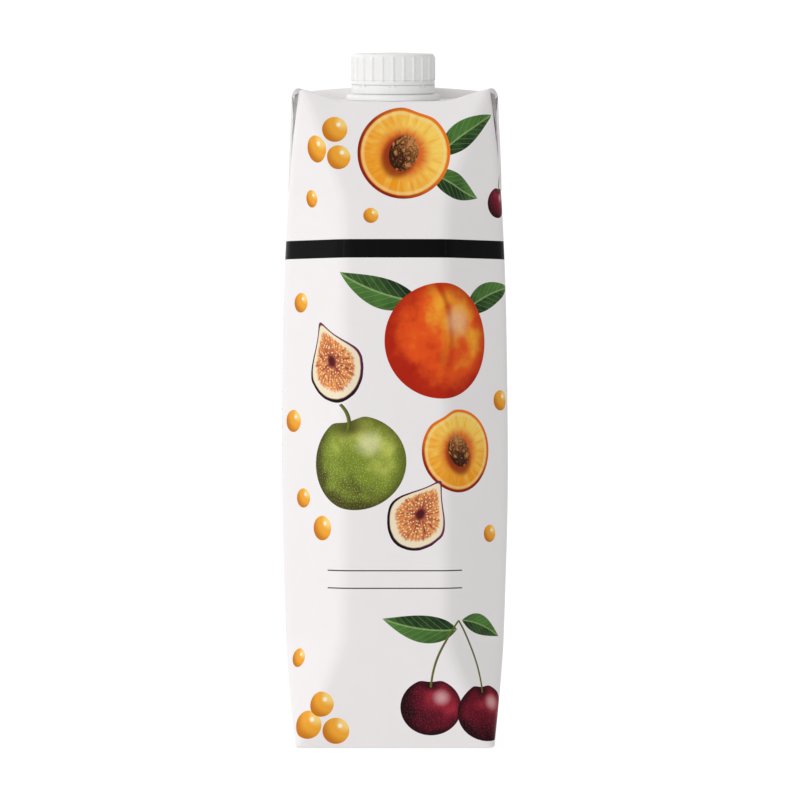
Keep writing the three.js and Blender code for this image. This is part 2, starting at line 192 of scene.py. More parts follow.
def wall_stations():
    """Places round the wall, from the middle of the back round the front and back again, as the side they
    are on, whether on its facet, and their share across. They crowd towards the creases."""
    crowd = 1 - (1 - np.linspace(0, 1, PANEL_STEPS + 1)) ** PANEL_CROWDING
    across = np.concatenate([-crowd[:0:-1], crowd])
    half_facet = 0.5 * np.linspace(0, 1, FACET_STEPS + 1)[1:] ** FACET_CROWDING
    facet = np.concatenate([half_facet, 1 - half_facet[-2::-1]])
    on_facet = np.repeat([False, True], [across.size, facet.size])
    share = np.concatenate([across, facet])
    sides = np.concatenate([np.repeat(np.arange(-2, 2), share.size), np.full(PANEL_STEPS + 1, 2)])
    facets = np.concatenate([np.tile(on_facet, 4), np.full(PANEL_STEPS + 1, False)])
    shares = np.concatenate([np.tile(share, 4), across[: PANEL_STEPS + 1]])
    return sides[PANEL_STEPS:], facets[PANEL_STEPS:], shares[PANEL_STEPS:]


def shell_rows():
    """The shell's rows, from the middle of the underside to the middle of the top: each one's half width,
    its height before the top is sloped, and its size as a share, which falls to nought at both ends."""
    quarter_turn = np.pi / 2 / ROUND_ROWS
    heel_angle = np.arange(ROUND_ROWS) * quarter_turn
    heel_half = BASE_HALF - HEEL_RADIUS * (1 - np.sin(heel_angle))
    heel_z = HEEL_RADIUS * (1 - np.cos(heel_angle))
    wall_z = np.concatenate([
        np.linspace(HEEL_RADIUS, LOWER_FOLD_Z, LOWER_ROWS, endpoint=False),
        np.linspace(LOWER_FOLD_Z, UPPER_FOLD_Z, WAIST_ROWS, endpoint=False),
        np.linspace(UPPER_FOLD_Z, CORNER_Z - RIM_RADIUS, UPPER_ROWS, endpoint=False),
    ])
    rim_angle = np.arange(ROUND_ROWS + 1) * quarter_turn
    rim_half = TOP_HALF - RIM_RADIUS * (1 - np.cos(rim_angle))
    rim_z = CORNER_Z - RIM_RADIUS * (1 - np.sin(rim_angle))
    under, over = np.full(UNDER_ROWS, heel_half[0]), np.full(TOP_ROWS, rim_half[-1])
    half = np.concatenate([under, heel_half, half_at(wall_z), rim_half, over])
    height = np.concatenate([np.zeros(UNDER_ROWS), heel_z, wall_z, rim_z, np.full(TOP_ROWS, CORNER_Z)])
    size = np.concatenate([
        np.linspace(0, 1, UNDER_ROWS, endpoint=False),
        np.ones(heel_z.size + wall_z.size + rim_z.size),
        np.linspace(1, 0, TOP_ROWS + 1)[1:],
    ])
    return half[:, None], height[:, None], size[:, None]


def rounded_octagon(half, panel, bulge, facet, share):
    """The shell's rows as each side sees them, with that side in front. Panels and facets swell a little,
    and a parabola rounds every crease, over the crease radius to each side."""
    facet_width = (half - panel) * np.sqrt(2)
    swell = FACET_BULGE * arch(share) * (half - panel) / (LOWER_HALF - PANEL_HALF) * np.sqrt(0.5)
    panel_x, panel_y = share * panel, -(half + PANEL_BULGE * bulge * (1 - share**2))
    facet_x, facet_y = mix(panel, half, share) + swell, mix(-half, -panel, share) - swell
    from_crease = np.where(facet, facet_width * np.minimum(share, 1 - share), (1 - np.abs(share)) * panel)
    radius = np.minimum(CREASE_RADIUS, facet_width / 2)
    pull = np.sin(np.pi / 8) * np.clip(radius - from_crease, 0, None) ** 2 / (2 * radius)
    crease_turn = np.where(facet, np.where(share > 0.5, 3, 1), np.sign(share)) * np.pi / 8
    x = np.where(facet, facet_x, panel_x) - pull * np.sin(crease_turn)
    y = np.where(facet, facet_y, panel_y) + pull * np.cos(crease_turn)
    return x, y


def carton_shell(material):
    """The pack's skin in rows from the middle of the underside, round the heel, up the wall, over the rim
    and in to the middle of the top. A row is an octagon: the panel's half width and its distance from the
    axis both hang on the height. Slow sine waves make it a little uneven. Its underside is stepped up
    between the two bottom flaps, and its back panel is set in under the seam."""
    half, height, size = shell_rows()
    side, facet, share = (stations[None] for stations in wall_stations())
    panel = np.minimum(panel_at(height), half - CORNER_CUT)
    bulge = smooth(0, LOWER_FOLD_Z, height)
    x, y = rounded_octagon(half, panel, bulge, facet, share)
    y = y + SEAM_STEP * ((np.abs(side) == 2) & ~facet)
    turn = side * np.pi / 2
    across = x * np.cos(turn) - y * np.sin(turn)
    depth = x * np.sin(turn) + y * np.cos(turn)

    stretch = (QUARTER / 2 - BASE_STRIP / 2 - PANEL_HALF) / (BASE_HALF - CORNER_CUT - PANEL_HALF)
    printed = PANEL_HALF + stretch * (panel - PANEL_HALF)
    u = side * QUARTER + np.where(facet, printed + share * (QUARTER - 2 * printed), share * printed)
    long_waves = np.sin(u / 9 + height / 31) * np.cos(height / 17)
    short_waves = np.sin(u / 5.3 - height / 23) * 0.5
    wave = UNEVENNESS * bulge * (long_waves + short_waves) * (size == 1)
    stretched = 1 + wave / np.hypot(across, depth)
    across, depth = across * stretched, depth * stretched

    rim_row = height.size - TOP_ROWS - 1
    rim_top = top_height(across[rim_row], depth[rim_row])
    across, depth, inward = across * size, depth * size, half * (1 - size)
    flap_side = np.where(facet, 0, (1 - np.abs(share)) * panel * size)
    recess = smooth(0, 0.5, flap_side) * smooth(FLAP_INSET - 0.4, FLAP_INSET + 0.4, inward)
    recess = FLAP_STEP * recess * (np.abs(side) != 1)
    z = height + rim_share(height) * (rim_top - CORNER_Z) + np.where(height > 0, 0, recess)
    z = np.where(np.arange(height.size)[:, None] > rim_row, top_height(across, depth), z)
    v = np.where(height > 0, z + np.where(size < 1, inward + PAST_RIM, 0), -inward)
    places = np.stack([across, depth, z], axis=-1)[:, :-1]
    grid_piece("carton_shell", places, material, "carton", np.stack([u, v], axis=-1))


# The folds that lie on the shell

def closed_ends(outlines):
    """Adds a row at each end where the outline shrinks to its middle, so that the piece is closed."""
    first, last = outlines[:1].mean(1, keepdims=True), outlines[-1:].mean(1, keepdims=True)
    shape = outlines[:1].shape
    return np.concatenate([np.broadcast_to(first, shape), outlines, np.broadcast_to(last, shape)])


def pressed(y):
    """The fine lines pressed along the seal: a sine across its width that dies out at both edges."""
    fading = smooth(0.7, 1.5, y) * (1 - smooth(FIN_WIDTH - 1.3, FIN_WIDTH - 0.6, y))
    return SEAL_DEPTH * np.sin(2 * np.pi * y / SEAL_PITCH) * fading


def top_fin(material):
    """The sealed edge of the tube: one outline carried across the top. It stands up along its fold,
    higher in the middle than at the sides, and lies back to a thin tail in a smooth step."""
    x = np.linspace(-TOP_HALF + 0.1, TOP_HALF - 0.1, FIN_ROWS)
    middle, crest = top_height(x, 0), fin_height(x)
    tail = top_height(x, FIN_WIDTH) + FIN_THICKNESS
    back = np.linspace(FIN_WIDTH - SEAL_EDGE, FIN_CREST_Y, SEAL_POINTS)
    rise = 1 - smooth(FIN_CREST_Y, FIN_WIDTH - SEAL_EDGE, back)
    front = [(0.5, 0.97), (0.15, 0.88), (-0.2, 0.73), (-0.4, 0.55), (FIN_FRONT_Y, 0.4), (FIN_FRONT_Y, 0.1)]
    outline = [(y, top_height(x, y) - FIN_SINK) for y in (FIN_FRONT_Y, FIN_WIDTH)]
    outline += [(FIN_WIDTH, tail - SEAL_EDGE)]
    outline += [(y, mix(tail, crest, share) + pressed(y)) for y, share in zip(back, rise)]
    outline += [(y, mix(middle, crest, share)) for y, share in front]
    places = np.stack([np.stack([x, 0 * x + y, z], axis=-1) for y, z in outline], axis=1)
    grid_piece("top_fin", closed_ends(places), material)


def ear_stand(drop):
    """How far an ear's face stands off the side panel: straight from its top to its tip."""
    return mix(EAR_STAND_TOP, EAR_STAND_TIP, np.clip(drop / EAR_LENGTH, 0, 1))


def mirrored_pair(name, places, material):
    """A closed piece on the right side and its mirror on the left, whose columns run the other way."""
    for side, sign in (("right", 1), ("left", -1)):
        closed = closed_ends(places * (sign, 1, 1))
        grid_piece(f"{name}_{side}", closed[:, ::sign], material)


def ears(material):
    """A doubled triangle down each side: one outline, given as drop below the top and stand-off from the
    side panel, carried from the front edge to the back edge. Its half width shrinks towards the tip."""
    inner = np.array([EAR_LENGTH, 30, 27, EAR_GAP_LENGTH, 22, 18, 14, 10, 7, 4.5, 3, 2])
    gap = np.where(inner < EAR_GAP_LENGTH, EAR_GAP * (1 - inner / EAR_GAP_LENGTH), -0.4)
    fold = np.array([
        [1.6, 0.2], [1.5, -0.9], [0.9, -1.3], [0.4, -1.2], [0.15, -0.6], [0.02, 0.0],
        [0.08, 0.6], [0.3, 1.1], [0.7, 1.5], [1.2, 1.85], [1.9, 2.1], [2.6, 2.2],
    ])
    outer = np.array([3.5, 5, 7, 10, 13, 17, 21, 25, 29, EAR_LENGTH])
    drop = np.concatenate([inner, fold[:, 0], outer])
    stand = np.concatenate([gap, fold[:, 1], ear_stand(outer)])
    middle = stand.copy()
    middle[: inner.size] = (gap + ear_stand(inner)) / 2
    middle[-outer.size:] = (ear_stand(outer) + np.interp(outer, inner[::-1], gap[::-1])) / 2
    z = EAR_TOP_Z - drop
    half = mix(EAR_HALF, EAR_TIP_HALF, drop / EAR_LENGTH)
    across = np.linspace(-1, 1, EAR_ROWS)[:, None]
    x = half_at(z) + mix(middle, stand, smooth(0, EAR_EDGE, (1 - np.abs(across)) * half))
    mirrored_pair("ear", np.stack([x, across * half, z + 0 * x], axis=-1), material)


def ear_seals(material):
    """The fin's end, carried down the middle of each ear to a squared tip."""
    over_fold = np.array([[0.25, 0.9], [0.4, 1.15], [0.7, 1.5], [1.2, 1.85], [1.9, 2.1], [2.6, 2.2]])
    below = np.array([4, 7, 10, 14, 18, 22, 26, 30, EAR_LENGTH - 0.2, EAR_LENGTH])
    z = EAR_TOP_Z - np.concatenate([over_fold[:, 0], below])
    face = half_at(z) + np.concatenate([over_fold[:, 1], ear_stand(below)]) + FIN_ON_EAR
    face[-1] -= 0.2
    outline = [(-1.5, 0.0), (-1.5, FIN_WIDTH), (-0.2, FIN_WIDTH), (-0.05, FIN_WIDTH - 0.08)]
    outline += [(pressed(y), y) for y in np.linspace(FIN_WIDTH - SEAL_EDGE, SEAL_EDGE, SEAL_POINTS)]
    outline += [(-0.05, 0.08), (-0.2, 0.0)]
    places = np.stack([np.stack([face + x, 0 * z + y, z], axis=-1) for x, y in outline], axis=1)
    mirrored_pair("ear_seal", places, material)


def back_seam(material):
    """The lap of the board down the back: a thin strip that follows the back panel's bulge. Above the upper
    fold the shell is lowered to the level edge of the top, and the strip's heights follow it."""
    z = np.linspace(HEEL_RADIUS, FRONT_EDGE_Z - 0.4, SEAM_ROWS)
    to_edge = (z - UPPER_FOLD_Z) / (FRONT_EDGE_Z - UPPER_FOLD_Z)
    middle = half_at(np.where(z > UPPER_FOLD_Z, mix(UPPER_FOLD_Z, CORNER_Z, to_edge), z))
    bulge = PANEL_BULGE * smooth(0, LOWER_FOLD_Z, z)
    left, right = SEAM_LEFT, SEAM_LEFT + SEAM_WIDTH
    outline = [(left, -1.0), (right, -1.0), (right, -0.1), (right - 0.15, 0.0)]
    outline += [(left + 5.5, 0.0), (left + 2.5, 0.0), (left + 0.15, 0.0), (left, -0.1)]
    strips = [(x, middle + bulge * (1 - (x / panel_at(z)) ** 2) + out) for x, out in outline]
    places = np.stack([np.stack([x + 0 * z, y, z], axis=-1) for x, y in strips], axis=1)
    u = 2 * QUARTER - np.array([x for x, _ in outline] + [left])
    v = np.concatenate([z[:1], z, z[-1:]])
    sheet = np.stack(np.broadcast_arrays(u, v[:, None]), axis=-1)
    grid_piece("back_seam", closed_ends(places), material, sheet=sheet)


# The spout's parts are turned about an upright axis, then tilted and set down on the sloping top

SLOPE = np.arctan((MIDDLE_Z - FRONT_EDGE_Z) / TOP_HALF)
BAND_BOTTOM = FLANGE_HEIGHT + PART_GAP
CAP_BOTTOM = BAND_BOTTOM + BAND_HEIGHT + PART_GAP


def set_on_top(places, height):
    """Tilts places by the slope of the top and sets them down on it, under the cap's middle."""
    x, y, z = places[..., 0], places[..., 1], places[..., 2] + PART_GAP + height
    tilted_y = y * np.cos(SLOPE) - z * np.sin(SLOPE)
    tilted_z = y * np.sin(SLOPE) + z * np.cos(SLOPE)
    return np.stack([x + CAP_X, tilted_y + CAP_Y, tilted_z + top_height(CAP_X, CAP_Y)], axis=-1)


def turned(name, radius, z, height, material):
    """A turned piece: its radius, by row and by angle, swept round the axis. It has its node's name."""
    angle = np.linspace(0, 2 * np.pi, radius.shape[1], endpoint=False)
    places = np.stack([radius * np.sin(angle), -radius * np.cos(angle), z + 0 * radius], axis=-1)
    grid_piece(name, set_on_top(places, height), material, name)


def from_nearest(count, columns):
    """How far each place round a turned piece is from the nearest of count marks, as a share of their
    spacing, with so many columns from mark to mark."""
    return np.abs((np.arange(count * columns) / columns + 0.5) % 1 - 0.5)


def rounded(points, radius, steps=4):
    """A profile of radius and height whose corners are cut by short arcs, each a quadratic curve."""
    points = np.array(points, float)
    out = [points[:1]]
    for before, corner, after in zip(points, points[1:], points[2:]):
        start = corner + (before - corner) * min(0.5, radius / max(np.hypot(*(before - corner)), 1e-6))
        end = corner + (after - corner) * min(0.5, radius / max(np.hypot(*(after - corner)), 1e-6))
        t = np.linspace(0, 1, steps + 1)[:, None]
        out.append((1 - t) ** 2 * start + 2 * t * (1 - t) * corner + t**2 * end)
    out.append(points[-1:])
    return np.concatenate(out)


def spout(material):
    """The flange, which is rounded over, a low step in the groove under the band, and the neck."""
    step_radius, step_top = BAND_RADIUS - GROOVE_DEPTH, FLANGE_HEIGHT + PART_GAP - HAIR_GAP
    neck_top = CAP_BOTTOM - PART_GAP
    profile = rounded([
        (0, -FLANGE_SINK),
        (FLANGE_RADIUS, -FLANGE_SINK),
        (FLANGE_RADIUS, FLANGE_HEIGHT - FLANGE_ROUNDING),
        (FLANGE_RADIUS - FLANGE_ROUNDING * 0.3, FLANGE_HEIGHT - FLANGE_ROUNDING * 0.3),
        (FLANGE_RADIUS - FLANGE_ROUNDING, FLANGE_HEIGHT),
        (step_radius, FLANGE_HEIGHT),
        (step_radius, step_top),
        (NECK_RADIUS, step_top),
        (NECK_RADIUS, neck_top),
        (0, neck_top),
    ], 0.15)
    radius, z = profile[:, :1] + np.zeros(SPOUT_COLUMNS), profile[:, 1:]
    turned("spout", radius, z, 0, material)


def tamper_band(material):
    """A ring whose upper edge dips on each side of every bridge that joins it to the cap. Inside that edge a
    lip stands up in the groove under the cap."""
    inner, lip_radius, reach = NECK_RADIUS + PART_GAP, BAND_RADIUS - GROOVE_DEPTH, PART_GAP - HAIR_GAP
    profile = rounded([
        (inner, BAND_HEIGHT - 0.4),
        (inner, 0),
        (BAND_RADIUS - 0.1, 0),
        (BAND_RADIUS, BAND_HEIGHT * 0.5),
        (BAND_RADIUS - 0.05, BAND_HEIGHT),
        (lip_radius, BAND_HEIGHT),
        (lip_radius, BAND_HEIGHT + reach),
        (inner, BAND_HEIGHT + reach),
        (inner, BAND_HEIGHT - 0.4),
    ], 0.12)
    radius, z = profile[:, :1], profile[:, 1:]
    from_bridge = from_nearest(BRIDGES, BRIDGE_COLUMNS) * 2 * np.pi * BAND_RADIUS / BRIDGES
    bridge = 1 - smooth(BRIDGE_HALF, BRIDGE_HALF + 0.15, from_bridge)
    notch = smooth(BRIDGE_HALF + 0.15, BRIDGE_HALF + 0.3, from_bridge)
    notch = notch * (1 - smooth(NOTCH_END, NOTCH_END + 0.2, from_bridge))
    upper = smooth(BAND_HEIGHT - 0.5, BAND_HEIGHT - 0.1, z) * smooth(lip_radius, lip_radius + 0.1, radius)
    z = z + upper * (reach * bridge - NOTCH_DEPTH * notch)
    turned("tamper_band", radius + 0 * z, z, BAND_BOTTOM, material)


def cap(material):
    """A plain collar, a side with narrow ribs, a rounded edge and a slightly domed top with a shallow
    recess and the moulding's gate in its middle. A rib falls off to both sides in a smooth step."""
    shoulder = CAP_HEIGHT - CAP_DOME - CAP_EDGE_RADIUS
    top_edge = CAP_RADIUS - CAP_EDGE_RADIUS
    side = rounded([
        (0, 0),
        (BAND_RADIUS, 0),
        (BAND_RADIUS, COLLAR_HEIGHT - 0.25),
        (CAP_RADIUS, COLLAR_HEIGHT),
        (CAP_RADIUS, COLLAR_HEIGHT + 0.5),
    ], 0.18)
    ribbed_z = np.linspace(COLLAR_HEIGHT + 0.5, shoulder, RIBBED_ROWS, endpoint=False)
    ribbed = np.stack([np.full(ribbed_z.size, CAP_RADIUS), ribbed_z], axis=-1)
    angle = np.linspace(0, np.pi / 2, CAP_EDGE_ROWS)
    edge = CAP_EDGE_RADIUS * np.stack([np.cos(angle), np.sin(angle)], axis=-1) + (top_edge, shoulder)
    outer_radius = np.linspace(top_edge, GATE_SURROUND, CAP_TOP_ROWS + 1)[1:]
    inner_radius = np.linspace(GATE_SURROUND, 0, GATE_ROWS + 1)[1:]
    top_radius = np.concatenate([outer_radius, inner_radius])
    recess = RECESS_DEPTH * (1 - smooth(RECESS_RADIUS, RECESS_RADIUS + 0.3, top_radius))
    gate = GATE_HEIGHT * (1 - smooth(GATE_RADIUS, GATE_RADIUS + 0.5, top_radius))
    top_z = CAP_HEIGHT - CAP_DOME * (top_radius / top_edge) ** 2 - recess + gate
    profile = np.concatenate([side, ribbed, edge, np.stack([top_radius, top_z], axis=-1)])
    radius, z = profile[:, :1], profile[:, 1:]
    rib = 1 - smooth(RIB_SHARE * 0.22, RIB_SHARE * 0.5, from_nearest(RIB_COUNT, RIB_COLUMNS))
    reach = smooth(COLLAR_HEIGHT, COLLAR_HEIGHT + 0.4, z) * (1 - smooth(RIB_TOP - 0.7, RIB_TOP + 0.1, z))
    turned("cap", radius + RIB_STAND * reach * rib, z, CAP_BOTTOM, material)


# Shader maths as Python expressions

class Socket:
    """A socket of the material being made. Sums and the like on it add Math nodes."""

    def __init__(self, maker, socket):
        self.maker, self.socket = maker, socket

    def math(self, operation, *others):
        return self.maker.node("ShaderNodeMath", {"operation": operation}, dict(enumerate((self, *others))))

    def __add__(self, other):
        return self.math("ADD", other)

    def __radd__(self, other):
        return self.math("ADD", other)

    def __sub__(self, other):
        return self.math("SUBTRACT", other)

    def __rsub__(self, other):
        return self.maker.node("ShaderNodeMath", {"operation": "SUBTRACT"}, {0: other, 1: self})

    def __mul__(self, other):
        return self.math("MULTIPLY", other)

    def __rmul__(self, other):
        return self.math("MULTIPLY", other)

    def __truediv__(self, other):
        return self.math("DIVIDE", other)

    def __abs__(self):
        return self.math("ABSOLUTE")

    def vector_math(self, operation, *others, output=0):
        values = dict(enumerate((self, *others)))
        return self.maker.node("ShaderNodeVectorMath", {"operation": operation}, values, output)

    def dot(self, x, y):
        """A vector's share along a direction."""
        return self.vector_math("DOT_PRODUCT", (x, y, 0.0), output=1)

    def distance(self, x=0.0, y=0.0):
        """How far a vector is from a place."""
        return self.vector_math("DISTANCE", (x, y, 0.0), output=1)

    def split(self):
        """A vector's first two numbers."""
        first = self.maker.node("ShaderNodeSeparateXYZ", None, {0: self})
        return first, Socket(self.maker, first.socket.node.outputs[1])

    def step(self, low, high, start=0.0, end=1.0):
        """A smooth step between low and high."""
        settings = {"interpolation_type": "SMOOTHSTEP"}
        values = {"Value": self, "From Min": low, "From Max": high, "To Min": start, "To Max": end}
        return self.maker.node("ShaderNodeMapRange", settings, values)


class Maker:
    """Makes one material or world. Its node method takes a type, settings and the values of the sockets."""

    def __init__(self, name, kind=None, output="ShaderNodeOutputMaterial"):
        self.made = (bpy.data.materials if kind is None else kind).new(name)
        self.made.use_nodes = True
        self.tree = self.made.node_tree
        self.tree.nodes.clear()
        self.output = self.tree.nodes.new(output)

    def node(self, kind, settings=None, values=None, output=0):
        made = self.tree.nodes.new(kind)
        for key, value in (settings or {}).items():
            setattr(made, key, value)
        for key, value in (values or {}).items():
            if isinstance(value, Socket):
                self.tree.links.new(value.socket, made.inputs[key])
            else:
                made.inputs[key].default_value = value
        return Socket(self, made.outputs[output])

    def colour(self, a, b, share):
        """From colour a to colour b by a share."""
        return self.node("ShaderNodeMix", {"data_type": "RGBA"}, {0: share, 6: a, 7: b}, output=2)

    def vector(self, x, y, z=0.0):
        return self.node("ShaderNodeCombineXYZ", None, {0: x, 1: y, 2: z})

    def noise(self, place, scale, detail=2.0, roughness=0.5, dimensions="3D"):
        values = {"Vector": place, "Scale": scale, "Detail": detail, "Roughness": roughness}
        return self.node("ShaderNodeTexNoise", {"noise_dimensions": dimensions}, values)

    def cells(self, place, scale):
        """The distance from the nearest of many scattered points, as a share of their spacing."""
        settings = {"voronoi_dimensions": "2D"}
        return self.node("ShaderNodeTexVoronoi", settings, {"Vector": place, "Scale": scale})

    def object_place(self):
        return self.node("ShaderNodeTexCoord", output=3)

    def relief(self, height, strength, depth):
        """A bump for the Normal socket. A height of one stands for the depth, in metres."""
        return self.node("ShaderNodeBump", None, {"Strength": strength, "Distance": depth, "Height": height})

    def finish(self, constants, varying):
        return self.finish_with(self.node("ShaderNodeBsdfPrincipled", None, constants | varying))

    def finish_with(self, shader):
        self.tree.links.new(shader.socket, self.output.inputs[0])
        return self.made


def rgb(code):
    """A colour code such as f0a020 as linear light."""
    channels = np.array([int(code[i:i + 2], 16) for i in (0, 2, 4)]) / 255
    linear = np.where(channels <= 0.04045, channels / 12.92, ((channels + 0.055) / 1.055) ** 2.4)
    return (*linear.tolist(), 1.0)


# The print: fields of colour and simple figures on the unrolled sheet. The back repeats the front. The
# scales of its noises are per millimetre.

GRAIN_SCALE, BLOTCH_SCALE, SPECK_SCALE, SEED_SCALE = 2.4, 0.11, 1.3, 0.8
PAPER, PAPER_SHADE, BOARD_SHADE, RAW_EDGE = "f5f1f2", "f2eeee", "ebe6e5", "ddd2bf"
# The second ink is lighter: a painted highlight on the band along the creases.
INK, CREASE_HIGHLIGHT_INK, RULE_INK, TABLE_INK = "060607", "363537", "3a383a", "55535a"
BAND_LOW, BAND_HIGH = 164.9, 171.0
RULE_HEIGHTS, RULE_HALF, RULE_WIDTH = (59.9, 54.0), 24.5, 0.32
TABLE_HALF, TABLE_LOW, TABLE_HIGH, TABLE_PITCH, TABLE_COLUMN = 13.0, 66.0, 150.0, 6.0, 5.0
PRINT_TOP = 222.5
PRINTED_EDGE = 0.12
WAIST_CREASES = (PANEL_HALF, QUARTER - PANEL_HALF)

# Tones of a whole fruit: its shaded side, its body, its lit side, its shine and its specks
PEACH = ("b3240f", "ea541b", "fbb033", "ffe6b4", "ffd27a")
GREEN_FRUIT = ("4b4a1b", "7d8f2e", "c3c95c", "f4f3c4", "dfe09a")
CHERRY = ("24060e", "651023", "a82a3c", "f6cfd0", "c4606c")
GOLDEN = ("c9761a", "f2a836", "fdd67a", "fffbe8")

# Tones of the halved fruit, the leaves and the stalks
STONE_FRUIT_FLESH = ("f39a1e", "ffd766", "d9481a", "fbe2a0")
STONE_FRUIT_SKIN = ("8f1f14", "ee7a22")
STONE = ("7a1d0c", "3a1a0c", "c08048")
FIG_FLESH = ("8e1c33", "ee9a5a", "3d0a18", "f7dc98")
FIG_SKIN = ("f5e6c6", "210716", "6f2a55")
LEAF = ("14271a", "55833c", "8fae6c")
STALK = ("3c2c15", "7d8a3c")

# A leaf's half width as a share of its half length, before it is made fuller near the stalk
LEAF_WIDTH = 0.34


class Sheet:
    """The sheet being printed: its places in millimetres, its shared noises and the colour so far."""

    def __init__(self, make):
        self.make = make
        place = make.node("ShaderNodeUVMap", {"uv_map": "print"})
        round_pack, self.height = place.split()
        self.across = (round_pack + 5 * QUARTER).math("MODULO", 2 * QUARTER) - QUARTER
        self.side_across = (round_pack + 4 * QUARTER).math("MODULO", 2 * QUARTER) - QUARTER
        self.front_place = make.vector(self.across, self.height)
        self.grain = make.noise(place, GRAIN_SCALE, 2, dimensions="2D")
        self.blotch = make.noise(place, BLOTCH_SCALE, 3, 0.55, dimensions="2D")
        self.specks = make.cells(place, SPECK_SCALE)
        self.seeds = make.cells(place, SEED_SCALE)
        self.paper = make.colour(rgb(PAPER), rgb(PAPER_SHADE), self.blotch)
        self.colour = self.paper

    def at(self, x, y, radius, turn=0.0, squash=1.0):
        """A figure's own places, with its middle at nought and its edge at one, turned by degrees."""
        cos, sin = float(np.cos(np.radians(turn))) / radius, float(np.sin(np.radians(turn))) / radius
        offset = self.front_place.vector_math("SUBTRACT", (x, y, 0.0))
        return offset.dot(cos, sin), offset.dot(-sin / squash, cos / squash)

    def lay(self, colour, mask):
        self.colour = self.make.colour(self.colour, colour, mask)

    def lay_inside(self, colour, r, radius):
        """Lays a colour where r is under one, with an edge as sharp as print."""
        self.lay(colour, r.step(1 - PRINTED_EDGE / radius, 1.0, 1.0, 0.0))


def between(value, low, high, edge):
    """One between low and high and nought outside, over a soft edge."""
    return value.step(low - edge, low) * value.step(high, high + edge, 1.0, 0.0)


def band_and_rules(sheet):
    """A black band right round the pack, its ink lighter in grainy patches along the waist creases as a
    painted highlight, and two thin rules on the front.
    """
    from_crease = [abs(abs(sheet.across) - crease) for crease in WAIST_CREASES]
    nearest = from_crease[0].math("MINIMUM", from_crease[1])
    # Painted highlight: the ink is lighter along the waist creases, broken up by the grain.
    crease_highlight = nearest.step(0.05, 0.6, 0.8, 0.0) * sheet.grain.step(0.45, 0.85)
    ink = sheet.make.colour(rgb(INK), rgb(CREASE_HIGHLIGHT_INK), crease_highlight)
    sheet.lay(ink, between(sheet.height, BAND_LOW, BAND_HIGH, PRINTED_EDGE))
    rules = sum(between(sheet.height, z - RULE_WIDTH / 2, z + RULE_WIDTH / 2, 0.08) for z in RULE_HEIGHTS)
    sheet.lay(rgb(RULE_INK), rules * abs(sheet.across).step(RULE_HALF, RULE_HALF + 0.1, 1.0, 0.0))


def side_table(sheet):
    """An empty ruled table on each side, as packs have: evenly spaced lines, a frame and one column line."""
    from_middle = abs(sheet.side_across)
    inside = from_middle.step(TABLE_HALF, TABLE_HALF + 0.1, 1.0, 0.0)
    inside = inside * between(sheet.height, TABLE_LOW - 0.1, TABLE_HIGH + 0.1, 0.1)
    row_share = ((sheet.height - TABLE_LOW) / TABLE_PITCH + 0.5).math("FRACT")
    lines = abs(row_share - 0.5).step(0.018, 0.03, 1.0, 0.0)
    uprights = abs(from_middle - TABLE_HALF).step(0.14, 0.24, 1.0, 0.0)
    uprights = uprights + abs(sheet.side_across - TABLE_COLUMN).step(0.06, 0.14, 1.0, 0.0)
    sheet.lay(rgb(TABLE_INK), inside * lines.math("MAXIMUM", uprights))


def rounded_places(sheet, x, y, radius, turn, squash, dent):
    """A figure's place, its across and up, and the distance from its middle. A dent pushes the outline in at
    the top."""
    px, py = sheet.at(x, y, radius, turn, squash)
    place = sheet.make.vector(px, py)
    r = place.distance()
    if dent:
        r = r + abs(px).step(0.0, 0.42, dent, 0.0) * py.step(0.3, 1.0)
    return place, px, py, r


def whole_fruit(sheet, x, y, radius, tones, turn=0.0, squash=1.0, dent=0.0, cleft=False, speckle=0.0):
    """A ball lit from the upper right. Its tone is across and up plus the ball's height, made uneven by
    the shared noises. It may have a dimple under its dent, a cleft down it and pale specks."""
    make = sheet.make
    dark, body, light, shine, spot = (rgb(tone) for tone in tones)
    place, px, py, r = rounded_places(sheet, x, y, radius, turn, squash, dent)
    depth = (1.0 - r * r).math("MAXIMUM", 0.0).math("SQRT")
    uneven = (sheet.blotch - 0.5) * 1.3 + (sheet.grain - 0.5) * 0.16
    lit = px * 0.45 + py * 0.4 + depth * 0.55 + uneven
    colour = make.colour(dark, body, lit.step(-0.25, 0.45))
    colour = make.colour(colour, light, lit.step(0.4, 1.15))
    if speckle:
        specks = sheet.specks.step(0.1, 0.28, speckle, 0.0) * sheet.grain.step(0.35, 0.55)
        colour = make.colour(colour, spot, specks)
    if cleft:
        across_cleft = px + py * py * 0.3 - 0.2
        fading = py.step(-0.95, 0.5)
        colour = make.colour(colour, dark, between(across_cleft, 0.0, 0.01, 0.1) * fading * 0.6)
        colour = make.colour(colour, light, between(across_cleft, -0.16, -0.12, 0.1) * fading * 0.35)
    if dent:
        dimple = make.vector(px, py * 1.9).distance(0.0, 1.4)
        colour = make.colour(colour, dark, dimple.step(0.05, 0.5, 0.85, 0.0))
    colour = make.colour(colour, dark, r.step(0.7, 1.03, 0.0, 0.7))
    gleam = place.distance(0.34, 0.34).step(0.04, 0.36, 0.6, 0.0) * sheet.grain.step(0.1, 0.9, 0.6, 1.0)
    sheet.lay_inside(make.colour(colour, shine, gleam), r, radius)


def fibres(sheet, place, r, rays, scale):
    """Noise that changes quickly round a figure and slowly outwards, so that it shows as fibres."""
    values = {0: place.vector_math("NORMALIZE"), "Scale": rays}
    outward = sheet.make.node("ShaderNodeVectorMath", {"operation": "SCALE"}, values)
    rising = sheet.make.vector(0.0, 0.0, r * 1.4)
    return sheet.make.noise(outward.vector_math("ADD", rising), scale, 2)


